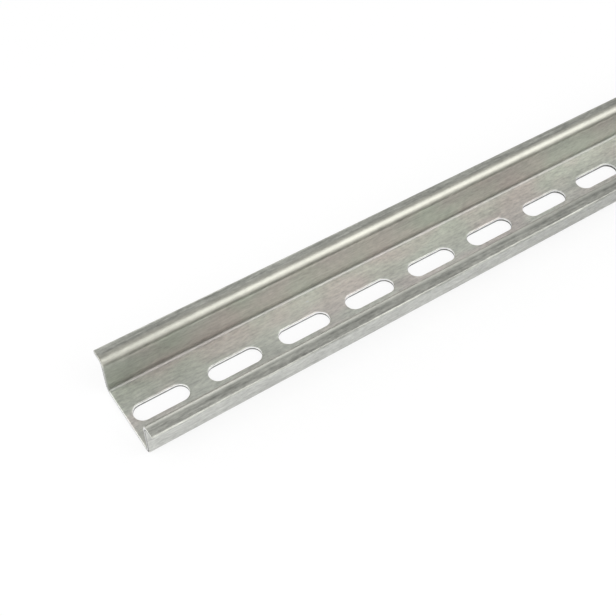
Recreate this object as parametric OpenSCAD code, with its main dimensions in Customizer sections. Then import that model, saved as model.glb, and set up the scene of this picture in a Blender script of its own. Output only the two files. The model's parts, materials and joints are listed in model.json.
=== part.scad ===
// Slotted top-hat rail: one length of strip, roll-formed into a hat section
// and punched along the middle of its web.
// X runs along the rail, Y across it and Z up. The rail lies on its web with
// the flanges on top, and the origin is under the middle of the web.

/* [Section] */
// Width over the edges of the two flanges
rail_width = 35; // [32:0.5:40]
// Width over the outer faces of the two walls
hat_width = 27; // [24:0.5:27.5]
// Height from the underside of the web to the top of the flanges
rail_height = 15; // [10:0.5:25]
// Thickness of the strip
sheet = 1.5; // [1:0.1:2]
// Inside radius of the four bends
bend_radius = 1.2; // [0.6:0.1:1.4]
// Radius on the corners of the two slit edges
edge_radius = 0.3; // [0.1:0.05:0.4]

/* [Length] */
// Length of the piece between its two cut ends
length = 300; // [100:5:600]

/* [Slots] */
// Length of a slot over its round ends
slot_length = 18; // [10:0.5:20]
// Width of a slot
slot_width = 6.2; // [4:0.1:8]
// Distance between the centres of two slots
slot_pitch = 25; // [22:0.5:40]
// Distance from the left-hand cut end to the centre of the first slot
first_slot = 11; // [11:0.5:24]
// Least metal left between the last slot and the right-hand cut end
end_land = 2; // [1:0.5:10]

/* [Hidden] */
$fn = 64;
// how far a cutter runs past the face that it cuts
overrun = 1;
bend_outer = bend_radius + sheet;
wall_out = hat_width / 2;
flange_out = rail_width / 2;
flange_start = wall_out + bend_radius;
slot_round = slot_width / 2;
slot_straight = slot_length - slot_width;
slot_room = length - first_slot - slot_length / 2 - end_land;
slot_count = 1 + floor(slot_room / slot_pitch);

// Quarter of a bend about the origin, running from straight down round to the right
module bend() {
    intersection() {
        difference() {
            circle(r = bend_outer);
            circle(r = bend_radius);
        }
        translate([0, -bend_outer]) square(bend_outer);
    }
}

// Flat flange from the end of its bend to the slit edge, with the edge's corners eased
module flange() {
    reach = flange_out - flange_start;
    square([reach - edge_radius, sheet]);
    translate([0, edge_radius]) square([reach, sheet - 2 * edge_radius]);
    for (y = [edge_radius, sheet - edge_radius])
        translate([reach - edge_radius, y]) circle(r = edge_radius);
}

// Right-hand half of the section: web, lower bend, wall, upper bend and flange
module half_section() {
    square([wall_out - bend_outer, sheet]);
    translate([wall_out - bend_outer, bend_outer]) bend();
    translate([wall_out - sheet, bend_outer])
        square([sheet, rail_height - 2 * bend_outer]);
    translate([flange_start, rail_height - bend_outer]) rotate(180) bend();
    translate([flange_start, rail_height - sheet]) flange();
}

module section() {
    half_section();
    mirror([1, 0]) half_section();
}

// The formed strip, before punching
module blank() {
    translate([-length / 2, 0, 0])
        rotate([90, 0, 90]) linear_extrude(length) section();
}

// Punch for one slot, centred on the origin and running along X
module slot_punch() {
    depth = sheet + 2 * overrun;
    translate([-slot_straight / 2, -slot_round, -overrun])
        cube([slot_straight, slot_width, depth]);
    for (x = [-1, 1])
        translate([x * slot_straight / 2, 0, -overrun]) cylinder(r = slot_round, h = depth);
}

module rail() {
    color([0.72, 0.72, 0.69])
    difference() {
        blank();
        for (i = [0 : slot_count - 1])
            translate([first_slot - length / 2 + i * slot_pitch, 0, 0]) slot_punch();
    }
}

rail();
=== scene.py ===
import json
import math

import bmesh
import bpy
from mathutils import Matrix, Vector


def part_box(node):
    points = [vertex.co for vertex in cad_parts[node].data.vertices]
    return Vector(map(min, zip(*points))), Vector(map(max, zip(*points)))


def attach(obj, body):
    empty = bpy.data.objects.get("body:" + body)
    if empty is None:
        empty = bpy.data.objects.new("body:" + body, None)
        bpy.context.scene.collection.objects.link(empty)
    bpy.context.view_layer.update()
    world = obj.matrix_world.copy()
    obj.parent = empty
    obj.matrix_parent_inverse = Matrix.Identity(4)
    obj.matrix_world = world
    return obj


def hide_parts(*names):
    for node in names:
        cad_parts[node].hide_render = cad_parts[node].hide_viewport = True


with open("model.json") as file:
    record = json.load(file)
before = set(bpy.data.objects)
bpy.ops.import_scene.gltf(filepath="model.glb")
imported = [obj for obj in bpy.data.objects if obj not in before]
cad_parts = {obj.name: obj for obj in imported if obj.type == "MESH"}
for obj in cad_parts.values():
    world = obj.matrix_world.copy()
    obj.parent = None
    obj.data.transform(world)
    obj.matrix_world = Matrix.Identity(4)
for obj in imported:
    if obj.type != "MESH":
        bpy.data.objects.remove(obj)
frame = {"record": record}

scene = bpy.context.scene
record = frame["record"]
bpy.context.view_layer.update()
railLow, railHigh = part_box("rail")
mm = 0.001
weld = 0.001 * mm       # points closer than this are one point


class Wire:
    # a socket that takes part in sums: each operator adds one Math node

    def __init__(self, net, socket):
        self.net = net
        self.socket = socket

    def maths(self, operation, *terms):
        return self.net.add("ShaderNodeMath", {"operation": operation}, dict(enumerate(terms)))

    def __add__(self, other):
        return self.maths("ADD", self, other)

    def __radd__(self, other):
        return self.maths("ADD", other, self)

    def __sub__(self, other):
        return self.maths("SUBTRACT", self, other)

    def __rsub__(self, other):
        return self.maths("SUBTRACT", other, self)

    def __mul__(self, other):
        return self.maths("MULTIPLY", self, other)

    def __truediv__(self, other):
        return self.maths("DIVIDE", self, other)

    def __neg__(self):
        return self.maths("MULTIPLY", self, -1.0)

    def __abs__(self):
        return self.maths("ABSOLUTE", self)

    def sin(self):
        return self.maths("SINE", self)

    def cos(self):
        return self.maths("COSINE", self)

    def sign(self):
        return self.maths("SIGN", self)

    def least(self, other):
        return self.maths("MINIMUM", self, other)

    def most(self, other):
        return self.maths("MAXIMUM", self, other)

    def clamp(self, low, high):
        return self.most(low).least(high)

    def out(self, name):
        return Wire(self.net, self.socket.node.outputs[name])


class Net:
    # a node tree, and the one way of adding a node to it

    def __init__(self, tree):
        self.tree = tree

    def add(self, kind, settings=None, inputs=None, out=0):
        node = self.tree.nodes.new(kind)
        for name, value in (settings or {}).items():
            if name == "stops":
                self.setStops(node.color_ramp, value)
            else:
                setattr(node, name, value)
        for name, value in (inputs or {}).items():
            self.plug(node.inputs[name], value)
        return Wire(self, node.outputs[out]) if node.outputs else node

    def plug(self, socket, value):
        if isinstance(value, Wire):
            self.tree.links.new(value.socket, socket)
        else:
            socket.default_value = value

    def setStops(self, ramp, stops):
        for element in list(ramp.elements)[1:]:
            ramp.elements.remove(element)
        ramp.elements[0].position, ramp.elements[0].color = stops[0]
        for place, colour in stops[1:]:
            ramp.elements.new(place).color = colour

    def smooth(self, value, low, high):
        return self.add("ShaderNodeMapRange", {"interpolation_type": "SMOOTHSTEP"},
                        {0: value, 1: low, 2: high})

    def stretch(self, value, low, high, start, end):
        return self.add("ShaderNodeMapRange", {"clamp": True},
                        {0: value, 1: low, 2: high, 3: start, 4: end})

    def mixed(self, part, first, second):
        return self.add("ShaderNodeMix", {"data_type": "RGBA"}, {0: part, 6: first, 7: second}, out=2)


def grey(level):
    return (level, level, level, 1.0)


def freshNet(owner):
    # the empty node tree of a material or a world
    owner.use_nodes = True
    owner.node_tree.nodes.clear()
    return Net(owner.node_tree)


def mountNamed(name):
    return next(m for m in record["mounts"] if m["name"].startswith(name))


def slotCentres():
    boxes = [gap["box_m"] for gap in record["physics"]["openings"] if gap["name"].startswith("slot_")]
    return sorted((low[0] + high[0]) / 2 for low, high in boxes)


centres = slotCentres()
slotDims = mountNamed("screw_slots")["dims"]

rail = {
    "leftEnd": railLow[0],
    "rightEnd": railHigh[0],
    "width": railHigh[1] - railLow[1],
    "height": railHigh[2] - railLow[2],
    "sheet": mountNamed("flange_top_front")["pos_m"][2] - mountNamed("flange_under_front")["pos_m"][2],
    "hatWidth": 27 * mm,        # over the outer faces of the two walls
    "insideRadius": 1.2 * mm,   # of the four bends
    "firstSlot": centres[0],
    "slotPitch": (centres[-1] - centres[0]) / (len(centres) - 1),
    "slotCount": len(centres),
    "slotLength": slotDims["slot_length_mm"] * mm,
    "slotRadius": slotDims["hole_r_mm"] * mm,
    "rimWide": 0.60 * mm,       # the punch draws the upper rim of a slot round, over this width
    "rimDeep": 0.28 * mm,       # and this depth
    "rimBurr": 0.08 * mm,       # and leaves the lower rim nearly sharp
    "dish": 0.03 * mm,          # and pulls the web down a little
    "dishWide": 1.4 * mm,       # this far round the slot
    "slitWide": 0.80 * mm,      # the slitter draws the long edges round in the same way
    "slitDeep": 0.30 * mm,
    "endWide": 0.35 * mm,       # and so does the shear at the two cut ends
    "endDeep": 0.28 * mm,
    "support": 0.12 * mm,       # narrow facet beside each rounding, so that flats shade flat
    "pitchFacets": 16,          # facets along one pitch
    "slotFacets": 6,            # along the straight side of a slot
    "webFacets": 10,            # across the web
    "wallFacets": 6,
    "flangeFacets": 3,
    "bendFacets": 12,           # round each bend
    "rimFacets": 8,             # round the upper rim of a slot, and round a slit edge
    "burrFacets": 3,
    "endFacets": 4,
}
rail["bendMid"] = rail["insideRadius"] + rail["sheet"] / 2
rail["bendRun"] = rail["bendMid"] * math.pi / 2
rail["webHalf"] = rail["hatWidth"] / 2 - rail["insideRadius"] - rail["sheet"]
rail["wallRise"] = rail["height"] - 2 * (rail["insideRadius"] + rail["sheet"])
# places across the flat strip where each zone of the section begins
rail["wallStart"] = rail["webHalf"] + rail["bendRun"]
rail["wallEnd"] = rail["wallStart"] + rail["wallRise"]
rail["flangeStart"] = rail["wallEnd"] + rail["bendRun"]
rail["stripHalf"] = rail["flangeStart"] + rail["width"] / 2 - rail["hatWidth"] / 2 - rail["insideRadius"]
print("sizes:", rail["slotCount"], "slots,", round(rail["slotPitch"] / mm, 2), "mm apart, sheet",
      round(rail["sheet"] / mm, 2), "mm, strip", round(2 * rail["stripHalf"] / mm, 2), "mm wide")


def arcSteps(count):
    # (1 - sin, 1 - cos) pairs of a quarter turn, from the flat to the cut face
    turns = [math.pi / 2 * i / count for i in range(count + 1)]
    return [(1 - math.sin(turn), 1 - math.cos(turn)) for turn in turns]


def pitchPlaces():
    # places along one pitch, which is centred on its slot
    pitch, facets = rail["slotPitch"], rail["pitchFacets"]
    return [-pitch / 2 + pitch * i / facets for i in range(facets + 1)]


def slotRing(offset):
    # outline of the slot, moved outwards, one point for each point of the unit's own border
    radius = rail["slotRadius"] + offset
    half = rail["slotLength"] / 2 - rail["slotRadius"]
    straight = rail["slotFacets"]
    curved = rail["pitchFacets"] - straight + rail["webFacets"]
    top = [(-half + 2 * half * i / straight, radius) for i in range(straight + 1)]
    turns = [math.pi / 2 - math.pi * i / curved for i in range(1, curved)]
    right = [(half + radius * math.cos(turn), radius * math.sin(turn)) for turn in turns]
    return top + right + [(-x, -y) for x, y in top + right]


def borderRing():
    # outline of the web's part of one pitch, begun above the straight side of the slot
    edge = rail["webHalf"]
    spare = (rail["pitchFacets"] - rail["slotFacets"]) // 2
    down = [edge - 2 * edge * i / rail["webFacets"] for i in range(1, rail["webFacets"])]
    half = [(x, edge) for x in pitchPlaces()] + [(rail["slotPitch"] / 2, y) for y in down]
    full = half + [(-x, -y) for x, y in half]
    return full[spare:] + full[:spare]


def webRings():
    # rings from the border over the upper side, down the punched wall and back underneath
    top = rail["sheet"] / 2
    wide = rail["rimWide"]
    deep = rail["rimDeep"]
    burr = rail["rimBurr"]
    support = rail["support"]

    def sunk(away):
        return top - rail["dish"] * (1 - away / rail["dishWide"]) ** 2

    def level(away, through):
        return [(x, y, through) for x, y in slotRing(away)]

    border = borderRing()
    rings = [[(x, y, top) for x, y in border]]
    for away in (rail["dishWide"], rail["dishWide"] * 0.8, wide + support):
        rings.append(level(away, sunk(away)))
    for out, down in arcSteps(rail["rimFacets"]):
        rings.append(level(wide * out, sunk(wide) - deep * down))
    rings.append(level(0, sunk(wide) - deep - support))
    rings.append(level(0, -top + burr + support))
    for out, down in reversed(arcSteps(rail["burrFacets"])):
        rings.append(level(burr * out, -top + burr * down))
    for away in (burr + support, rail["dishWide"] / 2, rail["dishWide"]):
        rings.append(level(away, -top))
    rings.append([(x, y, -top) for x, y in border])
    return rings


def spaced(start, end, count, support):
    # places from start to end with a narrow step at both
    inner = [start + support + (end - start - 2 * support) * i / count for i in range(count + 1)]
    return [start] + inner + [end]


def sideStations():
    # (across, through) points from the web's border out to the slit edge and back underneath
    half = rail["sheet"] / 2
    facets = rail["bendFacets"]
    support = rail["support"]
    edge = rail["stripHalf"]
    bend = [rail["bendRun"] * i / facets for i in range(facets)]
    places = [rail["webHalf"] + run for run in bend]
    places += spaced(rail["wallStart"], rail["wallEnd"], rail["wallFacets"], support)[:-1]
    places += [rail["wallEnd"] + run for run in bend]
    places += spaced(rail["flangeStart"], edge - rail["slitWide"] - support, rail["flangeFacets"], support)
    upper = [(place, half) for place in places]
    for out, down in arcSteps(rail["rimFacets"]):
        upper.append((edge - rail["slitWide"] * out, half - rail["slitDeep"] * down))
    upper.append((edge, half - rail["slitDeep"] - support))
    return upper + [(across, -through) for across, through in reversed(upper)]


def stitch(bm, rows, closed):
    # quads between neighbouring rows of vertices
    count = len(rows[0])
    for first, second in zip(rows, rows[1:]):
        for i in range(count if closed else count - 1):
            j = (i + 1) % count
            bm.faces.new((first[i], first[j], second[j], second[i]))


def makeUnit():
    # one pitch of the flat strip with its slot: along it, across it and through its thickness
    bm = bmesh.new()
    stitch(bm, [[bm.verts.new(point) for point in ring] for ring in webRings()], True)
    for side in (-1, 1):
        rows = [[bm.verts.new((x, side * across, through)) for x in pitchPlaces()]
                for across, through in sideStations()]
        stitch(bm, rows, False)
    bmesh.ops.remove_doubles(bm, verts=bm.verts, dist=weld)
    mesh = bpy.data.meshes.new("stripUnit")
    bm.to_mesh(mesh)
    bm.free()
    print("unit:", len(mesh.polygons), "faces")
    return mesh


def mover(net, shape, chosen=None):
    # the split position of the points, and a way to move them
    split = net.add("ShaderNodeSeparateXYZ", {}, {0: net.add("GeometryNodeInputPosition")})

    def move(x, y, z):
        links = {"Geometry": shape, "Position": net.add("ShaderNodeCombineXYZ", {}, {0: x, 1: y, 2: z})}
        if chosen:
            links["Selection"] = chosen
        return net.add("GeometryNodeSetPosition", {}, links)
    return split, split.out("Y"), split.out("Z"), move


def grownEdge(net, shape):
    # a new ring of faces, still of no width, on every open edge
    faces = net.add("GeometryNodeInputMeshEdgeNeighbors")
    openEdge = net.add("FunctionNodeCompare", {"data_type": "INT", "operation": "EQUAL"},
                       {"A": faces, "B": 1})
    grown = net.add("GeometryNodeExtrudeMesh", {"mode": "EDGES"}, {
        "Mesh": shape, "Selection": openEdge, "Offset Scale": 0.0})
    return mover(net, grown, grown.out("Top"))


def merged(net, shape):
    return net.add("GeometryNodeMergeByDistance", {}, {"Geometry": shape, "Distance": weld})


def addRow(net, size, unit):
    # one unit for each slot, joined, with the outermost metal drawn out to the two cut ends
    row = net.add("GeometryNodeMeshLine", {"mode": "OFFSET"}, {
        "Count": size["Slots"],
        "Start Location": net.add("ShaderNodeCombineXYZ", {}, {0: size["First Slot"]}),
        "Offset": net.add("ShaderNodeCombineXYZ", {}, {0: size["Pitch"]})})
    units = net.add("GeometryNodeInstanceOnPoints", {}, {"Points": row, "Instance": unit})
    strip = merged(net, net.add("GeometryNodeRealizeInstances", {}, {0: units}))
    along, across, through, move = mover(net, strip)
    lastSlot = size["First Slot"] + size["Pitch"] * (size["Slots"] - 1)
    margin = size["End Wide"] + size["Support"]
    nearLeft = size["First Slot"] - size["Slot Reach"]
    nearRight = lastSlot + size["Slot Reach"]
    left = net.stretch(along, size["First Slot"] - size["Pitch"] / 2, nearLeft,
                       size["Left End"] + margin, nearLeft)
    right = net.stretch(along, nearRight, lastSlot + size["Pitch"] / 2,
                        nearRight, size["Right End"] - margin)
    return move(left + right + along.clamp(nearLeft, nearRight) - nearLeft - nearRight, across, through)


def addEnds(net, size, strip):
    # cut ends: a narrow flat, the rounding, and the sheared face closed along its middle
    half = size["Sheet"] / 2
    forward, down = 0.0, 0.0
    along, across, through, move = grownEdge(net, strip)
    strip = move(along + along.sign() * size["Support"], across, through)
    for out, nextDown in arcSteps(rail["endFacets"])[1:]:
        along, across, through, move = grownEdge(net, strip)
        thinner = (half - size["End Deep"] * nextDown) / (half - size["End Deep"] * down)
        reach = size["Strip Half"] - size["End Deep"] * nextDown
        strip = move(along + along.sign() * size["End Wide"] * (1 - out - forward),
                     across.clamp(-reach, reach), through * thinner)
        forward, down = 1 - out, nextDown
    # the spine stops short of the slit edges, so that the face fans out round it there
    along, across, through, move = grownEdge(net, strip)
    spine = size["Strip Half"] - half
    return merged(net, move(along, across.clamp(-spine, spine), through * 0.0))


def addBends(net, size, strip):
    # roll forming: up through the lower bend, the wall, and out through the upper bend
    along, across, through, move = mover(net, strip)
    out = abs(across)
    quarter = math.pi / 2
    wallStart = size["Web Half"] + size["Bend Mid"] * quarter
    wallEnd = wallStart + size["Wall Rise"]
    flangeStart = wallEnd + size["Bend Mid"] * quarter
    lower = ((out - size["Web Half"]) / size["Bend Mid"]).clamp(0.0, quarter)
    upper = ((out - wallEnd) / size["Bend Mid"]).clamp(0.0, quarter)
    lean = lower - upper
    midY = out.least(size["Web Half"]) + size["Bend Mid"] * (lower.sin() + 1 - upper.cos())
    midY = midY + (out - flangeStart).most(0.0)
    midZ = size["Sheet"] / 2 + size["Bend Mid"] * (1 - lower.cos() + upper.sin())
    midZ = midZ + (out.clamp(wallStart, wallEnd) - wallStart)
    return move(along, across.sign() * (midY - through * lean.sin()), midZ + through * lean.cos())


def makeFormingTree():
    tree = bpy.data.node_groups.new("formedRail", "GeometryNodeTree")
    tree.interface.new_socket("Geometry", in_out="INPUT", socket_type="NodeSocketGeometry")
    kinds = {"Slots": "NodeSocketInt", "Material": "NodeSocketMaterial"}
    for label in ("Slots", "First Slot", "Pitch", "Slot Reach", "Left End", "Right End",
                  "End Wide", "End Deep", "Support", "Sheet", "Web Half", "Bend Mid", "Wall Rise",
                  "Strip Half", "Material"):
        tree.interface.new_socket(label, in_out="INPUT", socket_type=kinds.get(label, "NodeSocketFloat"))
    tree.interface.new_socket("Geometry", in_out="OUTPUT", socket_type="NodeSocketGeometry")
    net = Net(tree)
    given = net.add("NodeGroupInput")
    size = {socket.name: Wire(net, socket) for socket in given.socket.node.outputs if socket.name}
    strip = addEnds(net, size, addRow(net, size, given))
    # the flat place of each point is kept for the finish, which follows the strip
    strip = net.add("GeometryNodeStoreNamedAttribute", {"data_type": "FLOAT_VECTOR", "domain": "POINT"}, {
        "Geometry": strip, "Name": "strip", "Value": net.add("GeometryNodeInputPosition")})
    formed = addBends(net, size, strip)
    formed = net.add("GeometryNodeSetShadeSmooth", {}, {"Geometry": formed, "Shade Smooth": True})
    formed = net.add("GeometryNodeRealizeInstances", {}, {0: formed})
    formed = net.add("GeometryNodeSetMaterial", {}, {"Geometry": formed, "Material": size["Material"]})
    net.add("NodeGroupOutput", {}, {"Geometry": formed})
    return tree


def makeRail(finish):
    raw = bpy.data.objects.new("stripUnit", makeUnit())
    scene.collection.objects.link(raw)
    tree = makeFormingTree()
    modifier = raw.modifiers.new("form", "NODES")
    modifier.node_group = tree
    values = {
        "Slots": rail["slotCount"], "First Slot": rail["firstSlot"], "Pitch": rail["slotPitch"],
        "Slot Reach": rail["slotLength"] / 2 + rail["dishWide"], "Left End": rail["leftEnd"],
        "Right End": rail["rightEnd"], "End Wide": rail["endWide"], "End Deep": rail["endDeep"],
        "Support": rail["support"], "Sheet": rail["sheet"], "Web Half": rail["webHalf"],
        "Bend Mid": rail["bendMid"], "Wall Rise": rail["wallRise"], "Strip Half": rail["stripHalf"],
        "Material": finish}
    for item in tree.interface.items_tree:
        if item.in_out == "INPUT" and item.name in values:
            modifier[item.identifier] = values[item.name]
    depsgraph = bpy.context.evaluated_depsgraph_get()
    mesh = bpy.data.meshes.new_from_object(raw.evaluated_get(depsgraph), depsgraph=depsgraph)
    bpy.data.objects.remove(raw)
    bm = bmesh.new()
    bm.from_mesh(mesh)
    bmesh.ops.recalc_face_normals(bm, faces=bm.faces)
    loose = [edge for edge in bm.edges if len(edge.link_faces) != 2]
    print("rail:", len(bm.faces), "faces,", len(loose), "open edges, volume",
          round(bm.calc_volume() / mm ** 3), "mm3")
    bm.to_mesh(mesh)
    bm.free()
    piece = bpy.data.objects.new("zinc_rail", mesh)
    scene.collection.objects.link(piece)
    return piece


zinc = {
    "greenGrey": (0.593, 0.611, 0.556, 1.0),        # the two tints that the plating drifts between
    "rosyGrey": (0.625, 0.594, 0.560, 1.0),
    "bendGrey": (0.603, 0.600, 0.532, 1.0),         # the upper bend on the +Y side, a little yellow: painted colour of its highlight
    "flangeGrey": (0.598, 0.605, 0.552, 1.0),
    "outsideGrey": (0.601, 0.608, 0.579, 1.0),
    "cutGrey": (0.600, 0.604, 0.590, 1.0),
    "roughness": 0.43,
    # painted light and shade across the inside, as a tone: zone of the strip, part of the way through it,
    # tone. The lower bend holds a painted highlight line and painted shade, the wall is painted darker
    # towards that bend, and the flange has painted reflection bands, lighter and darker; the web is
    # lighter than walls and flanges
    "insideTones": [
        ("web", 0.0, 1.32), ("web", 0.97, 1.32), ("crease", 0.10, 1.14), ("crease", 0.27, 0.90),
        ("crease", 0.44, 0.60), ("wall", 0.02, 0.60), ("wall", 0.35, 0.65), ("wall", 0.90, 0.69),
        ("bend", 0.20, 1.0), ("bend", 0.90, 1.0), ("flange", 0.06, 0.83), ("flange", 0.35, 0.90),
        ("flange", 0.80, 0.88), ("flange", 0.92, 0.80), ("flange", 1.0, 0.92)],
    # painted shade across the outside, same columns: darker towards the floor, at the lower bend and under
    # the flanges
    "outsideTones": [
        ("web", 0.0, 1.0), ("crease", 0.2, 0.95), ("wall", 0.0, 0.94), ("wall", 0.9, 0.99),
        ("flange", 0.0, 0.84)],
    "backTone": 1.06,           # painted reflection: the half of the web towards +Y is lighter, where it mirrors the far wall
    "flangeBlend": 0.5 * mm,    # the flange's finish comes in over this, to either side of its start
    "bendBlend": 1.0 * mm,
    # cut faces, from the outside of the sheet inwards: where their finish sets in, and where it is full
    "cutBand": (0.20 * mm, 0.28 * mm),
    "slitBand": (0.5 * mm, 0.9 * mm),       # the same from the slit edges, which are plated over
    "tornBand": (-0.15 * mm, 0.0),          # heights over the middle of the sheet where torn metal ends
    "tornRagged": 0.3 * mm,
    "burnishTone": 1.30,        # above that line the punch rubbed the face smooth; this tone also paints a highlight on that band
    "tornTone": 0.34,           # and below it the face is torn and dull; this tone also paints shade on it
    # noise: waves for each metre along, across and through the strip, detail, roughness, shift
    "drawnLines": ((50.0, 1100.0, 1100.0), 3.0, 0.55, 0.0),
    "rollBands": ((24.0, 420.0, 420.0), 2.0, 0.5, 0.0),
    "grain": ((420.0, 1300.0, 1300.0), 3.0, 0.65, 0.0),
    "stains": ((150.0, 260.0, 260.0), 3.0, 0.55, 0.0),
    "clouds": ((18.0, 50.0, 50.0), 1.0, 0.5, 1.37),
    "tintPatches": ((45.0, 75.0, 75.0), 1.0, 0.5, 10.37),
    "patchEdge": 0.12,          # how gently one tint turns into the other
    # what each noise does to the tone, to the relief in mm and to the roughness: off the flanges, on them
    "lineMix": (0.7, 0.2),      # drawn lines everywhere, and roll bands off the flanges
    "lineTone": (0.6, 2.0),
    "grainTone": (0.9, 1.1),
    "stainTone": 0.40,
    "cloudTone": 0.30,
    "lineRelief": (0.004, 0.008),
    "grainRelief": (0.002, 0.004),
    "stainRelief": 0.02,
    "lineRough": 0.12,
    "grainRough": 0.12,
    "stainRough": 0.10,
    "tornRough": 0.25,
    "burnishRough": -0.15,
    "bendCalm": 0.5,            # the upper bend, ironed by the rolls, shows this much less of it
}


def toneAcross(net, out, tones):
    # a ramp over the distance from the middle of the strip; its colours hold half the tone
    zones = {"web": (0.0, rail["webHalf"]), "crease": (rail["webHalf"], rail["wallStart"]),
             "wall": (rail["wallStart"], rail["wallEnd"]), "bend": (rail["wallEnd"], rail["flangeStart"]),
             "flange": (rail["flangeStart"], rail["stripHalf"])}
    stops = []
    for zone, part, tone in tones:
        start, end = zones[zone]
        stops.append(((start + (end - start) * part) / rail["stripHalf"], grey(tone / 2)))
    return net.add("ShaderNodeValToRGB", {"stops": stops}, {0: out / rail["stripHalf"]}) * 2


def makeZinc():
    material = bpy.data.materials.new("zincPlatedSteel")
    net = freshNet(material)
    place = net.add("ShaderNodeAttribute", {"attribute_name": "strip"}, out="Vector")
    split = net.add("ShaderNodeSeparateXYZ", {}, {0: place})
    across, through = split.out("Y"), split.out("Z")
    out = abs(across)
    half = rail["sheet"] / 2
    flangeStart = rail["flangeStart"]

    def noise(name):
        # centred on nought
        waves, detail, rough, shift = zinc[name]
        moved = net.add("ShaderNodeVectorMath", {"operation": "MULTIPLY_ADD"},
                        {0: place, 1: waves, 2: [shift] * 3})
        return net.add("ShaderNodeTexNoise", {"noise_dimensions": "3D"}, {
            "Vector": moved, "Scale": 1.0, "Detail": detail, "Roughness": rough}) - 0.5

    # zones: how much of the flange, of the upper bend, of the outside and of the +Y half of the web, which
    # gets a painted reflection
    onFlange = net.smooth(out, flangeStart - zinc["flangeBlend"], flangeStart + zinc["flangeBlend"])
    onBend = net.smooth(out, rail["wallEnd"], rail["wallEnd"] + zinc["bendBlend"]) * (1 - onFlange)
    outside = net.smooth(through, half * 0.5, -half * 0.5)
    backReflectionPart = net.smooth(across, 0.0, rail["webHalf"]) * net.smooth(out, rail["wallStart"], rail["webHalf"])

    def byZone(name):
        off, on = zinc[name]
        return onFlange * (on - off) + off

    # lines drawn along the strip by the rolls, grain of the plating, and soft stains
    drawn, banded = zinc["lineMix"]
    lines = noise("drawnLines") * drawn + noise("rollBands") * (1 - onFlange) * banded
    grain = noise("grain")
    stain = noise("stains")
    calm = 1 - onBend * zinc["bendCalm"]
    busy = (lines * byZone("lineTone") + grain * byZone("grainTone")) * calm
    busy = busy + stain * zinc["stainTone"] + noise("clouds") * zinc["cloudTone"]
    # painted light and shade across the section, inside and outside, with a painted reflection on the +Y
    # half of the web
    inner = toneAcross(net, out, zinc["insideTones"]) * (backReflectionPart * (zinc["backTone"] - 1) + 1)
    outer = toneAcross(net, out, zinc["outsideTones"])
    tone = (inner * (1 - outside) + outer * outside) * (1 + busy)

    # punched and sheared faces: burnished above, torn below, with a painted highlight on the burnished
    # band and painted shade on the torn one
    under = half - abs(through)
    cut = net.smooth(under, *zinc["cutBand"])
    fromSlit = rail["stripHalf"] - out
    cut = cut * net.smooth(fromSlit, *zinc["slitBand"])
    torn = cut * (1 - net.smooth(through + grain * zinc["tornRagged"], *zinc["tornBand"]))
    burnished = cut * (1 - torn)
    tone = tone * (burnished * (zinc["burnishTone"] - 1) + 1) * (1 - torn * (1 - zinc["tornTone"]))

    # tint: patches on the web and walls, plainer on the flanges, the outside and the cuts
    patches = net.smooth(noise("tintPatches"), -zinc["patchEdge"], zinc["patchEdge"])
    tint = net.mixed(patches, zinc["greenGrey"], zinc["rosyGrey"])
    tint = net.mixed(net.smooth(out, rail["wallEnd"], flangeStart), tint, zinc["flangeGrey"])
    # the far upper bend gets the painted yellow of its highlight
    tint = net.mixed(onBend * net.smooth(across, 0.0, zinc["bendBlend"]), tint, zinc["bendGrey"])
    tint = net.mixed(outside, tint, zinc["outsideGrey"])
    tint = net.mixed(cut, tint, zinc["cutGrey"])
    colour = net.add("ShaderNodeMix", {"data_type": "RGBA", "blend_type": "MULTIPLY"},
                     {0: 1.0, 6: tint, 7: tone}, out=2)

    roughness = zinc["roughness"] + lines * zinc["lineRough"] + grain * zinc["grainRough"]
    roughness = roughness + stain * zinc["stainRough"]
    roughness = roughness + torn * zinc["tornRough"] + burnished * zinc["burnishRough"]
    relief = lines * byZone("lineRelief") + grain * byZone("grainRelief") + stain * zinc["stainRelief"]
    bump = net.add("ShaderNodeBump", {}, {"Strength": 1.0, "Distance": 1.0 * mm, "Height": relief * calm})
    shader = net.add("ShaderNodeBsdfPrincipled", {}, {
        "Metallic": 1.0, "Roughness": roughness.clamp(0.2, 0.9), "Base Color": colour, "Normal": bump})
    net.add("ShaderNodeOutputMaterial", {}, {"Surface": shader})
    print("finish:", material.name, len(net.tree.nodes), "nodes")
    return material


railPiece = makeRail(makeZinc())
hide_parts("rail")
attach(railPiece, "root")

floorPlan = {
    "size": 12.0,
    "drop": 0.05 * mm,          # below the rail, so that the two never share a face
    "colour": grey(0.95),
    "white": 0.82,              # how much of the floor is plain white to the eye
    "mirrored": 0.65,           # and to a reflection, near the -X end
    "dull": grey(0.80),         # what a reflection sees further on
    "dullFrom": -0.10,
    "dullTo": 0.06,
}

# brightness of the room from its walls up to its ceiling, on the -X side and on the +X side
room = {
    "left": [(0.0, 1.1), (0.3, 0.9), (0.55, 0.66), (0.77, 0.52), (1.0, 0.36)],
    "right": [(0.0, 0.62), (0.3, 0.58), (0.55, 0.46), (0.77, 0.44), (1.0, 0.34)],
    "rightFrom": 0.30,
    "rightTo": 0.75,
    "seen": 0.915,              # to the eye it is as bright as the floor is far away
}

# each lamp shines on a place on the rail, from this direction; some are hidden from reflections
lamps = {
    "keyLamp": {"aim": (0.50, -0.52, 0.69), "distance": 1.2, "size": 1.1, "power": 5.0,
                "target": (-0.08, 0.0, 0.01), "mirrored": True},
    "floorLamp": {"aim": (-0.35, -0.2, 1.0), "distance": 1.2, "size": 1.2, "power": 6.0,
                  "target": (-0.1, 0.0, 0.0), "mirrored": False},
    "backLamp": {"aim": (0.26, 0.91, 0.27), "distance": 1.2, "size": 0.55, "power": 0.62,
                 "target": (-0.11, 0.0, 0.01), "mirrored": True},
    "endLamp": {"aim": (-0.90, 0.20, 0.38), "distance": 1.0, "size": 0.5, "power": 1.2,
                "target": (-0.15, 0.0, 0.01), "mirrored": True},
}


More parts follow.
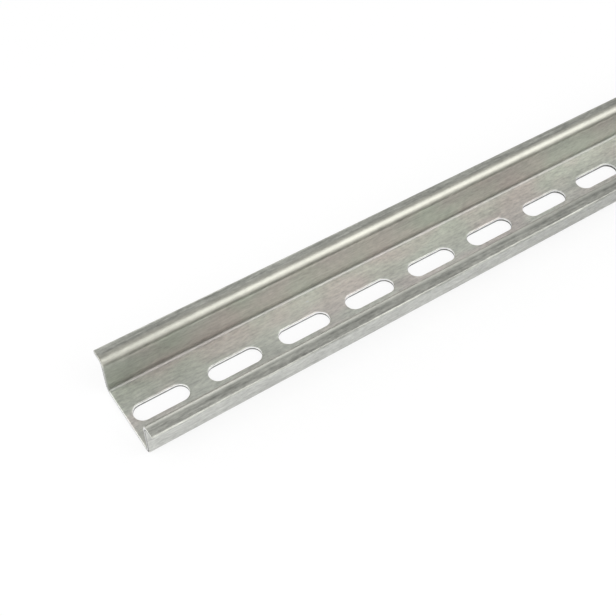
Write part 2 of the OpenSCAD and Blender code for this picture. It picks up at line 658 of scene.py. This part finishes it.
def makeFloor():
    bm = bmesh.new()
    bmesh.ops.create_grid(bm, x_segments=8, y_segments=8, size=floorPlan["size"] / 2)
    bmesh.ops.translate(bm, verts=bm.verts, vec=(0, 0, railLow[2] - floorPlan["drop"]))
    mesh = bpy.data.meshes.new("floor")
    bm.to_mesh(mesh)
    bm.free()
    material = bpy.data.materials.new("whiteFloor")
    net = freshNet(material)
    plain = net.add("ShaderNodeBsdfDiffuse", {}, {"Color": floorPlan["colour"]})
    dull = net.add("ShaderNodeBsdfDiffuse", {}, {"Color": floorPlan["dull"]})
    glow = net.add("ShaderNodeEmission", {}, {"Color": grey(1.0), "Strength": 1.0})
    path = net.add("ShaderNodeLightPath")
    spot = net.add("ShaderNodeSeparateXYZ", {}, {0: net.add("ShaderNodeTexCoord").out("Object")})
    far = net.smooth(spot, floorPlan["dullFrom"], floorPlan["dullTo"])
    mirrored = path.out("Is Glossy Ray").most(path.out("Is Transmission Ray"))
    base = net.add("ShaderNodeMixShader", {}, {0: mirrored * far, 1: plain, 2: dull})
    seen = path.out("Is Camera Ray") * floorPlan["white"]
    seen = seen.most(mirrored * (1 - far) * floorPlan["mirrored"])
    both = net.add("ShaderNodeMixShader", {}, {0: seen, 1: base, 2: glow})
    net.add("ShaderNodeOutputMaterial", {}, {"Surface": both})
    mesh.materials.append(material)
    floor = bpy.data.objects.new("floor", mesh)
    scene.collection.objects.link(floor)
    print("stage: floor")


def makeWorld():
    scene.world = bpy.data.worlds.new("studio")
    net = freshNet(scene.world)
    towards = net.add("ShaderNodeSeparateXYZ", {}, {0: net.add("ShaderNodeTexCoord").out("Generated")})
    sides = []
    for side in ("left", "right"):
        stops = [(place, grey(level / 2)) for place, level in room[side]]
        sides.append(net.add("ShaderNodeValToRGB", {"stops": stops}, {0: towards.out("Z")}))
    walls = net.mixed(net.smooth(towards, room["rightFrom"], room["rightTo"]), sides[0], sides[1])
    soft = net.add("ShaderNodeBackground", {}, {"Color": walls, "Strength": 2.0})
    plain = net.add("ShaderNodeBackground", {}, {"Color": grey(room["seen"]), "Strength": 1.0})
    path = net.add("ShaderNodeLightPath")
    both = net.add("ShaderNodeMixShader", {}, {0: path.out("Is Camera Ray"), 1: soft, 2: plain})
    net.add("ShaderNodeOutputWorld", {}, {"Surface": both})
    print("stage: room")


def makeLamps():
    for name, plan in lamps.items():
        light = bpy.data.lights.new(name, "AREA")
        light.shape = "DISK"
        light.size = plan["size"]
        light.energy = plan["power"]
        lamp = bpy.data.objects.new(name, light)
        direction = Vector(plan["aim"]).normalized()
        lamp.location = Vector(plan["target"]) + direction * plan["distance"]
        lamp.rotation_euler = direction.to_track_quat("Z", "Y").to_euler()
        lamp.visible_glossy = plan["mirrored"]
        scene.collection.objects.link(lamp)
    print("stage:", len(lamps), "lamps")


shot = {
    "place": (-0.1961, -0.1546, 0.2386),
    "aim": (-0.0838, 0.0058, 0.0015),
    "roll": 1.26,               # degrees
    "lens": 57.3,
    "sensor": 36.0,
}


def makeCamera():
    camera = bpy.data.cameras.new("camera")
    camera.sensor_width = shot["sensor"]
    camera.lens = shot["lens"]
    camera.clip_start = 0.01
    camera.clip_end = 50
    holder = bpy.data.objects.new("camera", camera)
    away = Vector(shot["place"]) - Vector(shot["aim"])
    roll = Matrix.Rotation(math.radians(shot["roll"]), 3, "Z")
    turn = away.to_track_quat("Z", "Y").to_matrix() @ roll
    holder.matrix_world = Matrix.Translation(shot["place"]) @ turn.to_4x4()
    scene.collection.objects.link(holder)
    scene.camera = holder
    print("camera:", shot["lens"], "mm lens")


makeFloor()
makeWorld()
makeLamps()
makeCamera()
scene.view_settings.view_transform = "Standard"
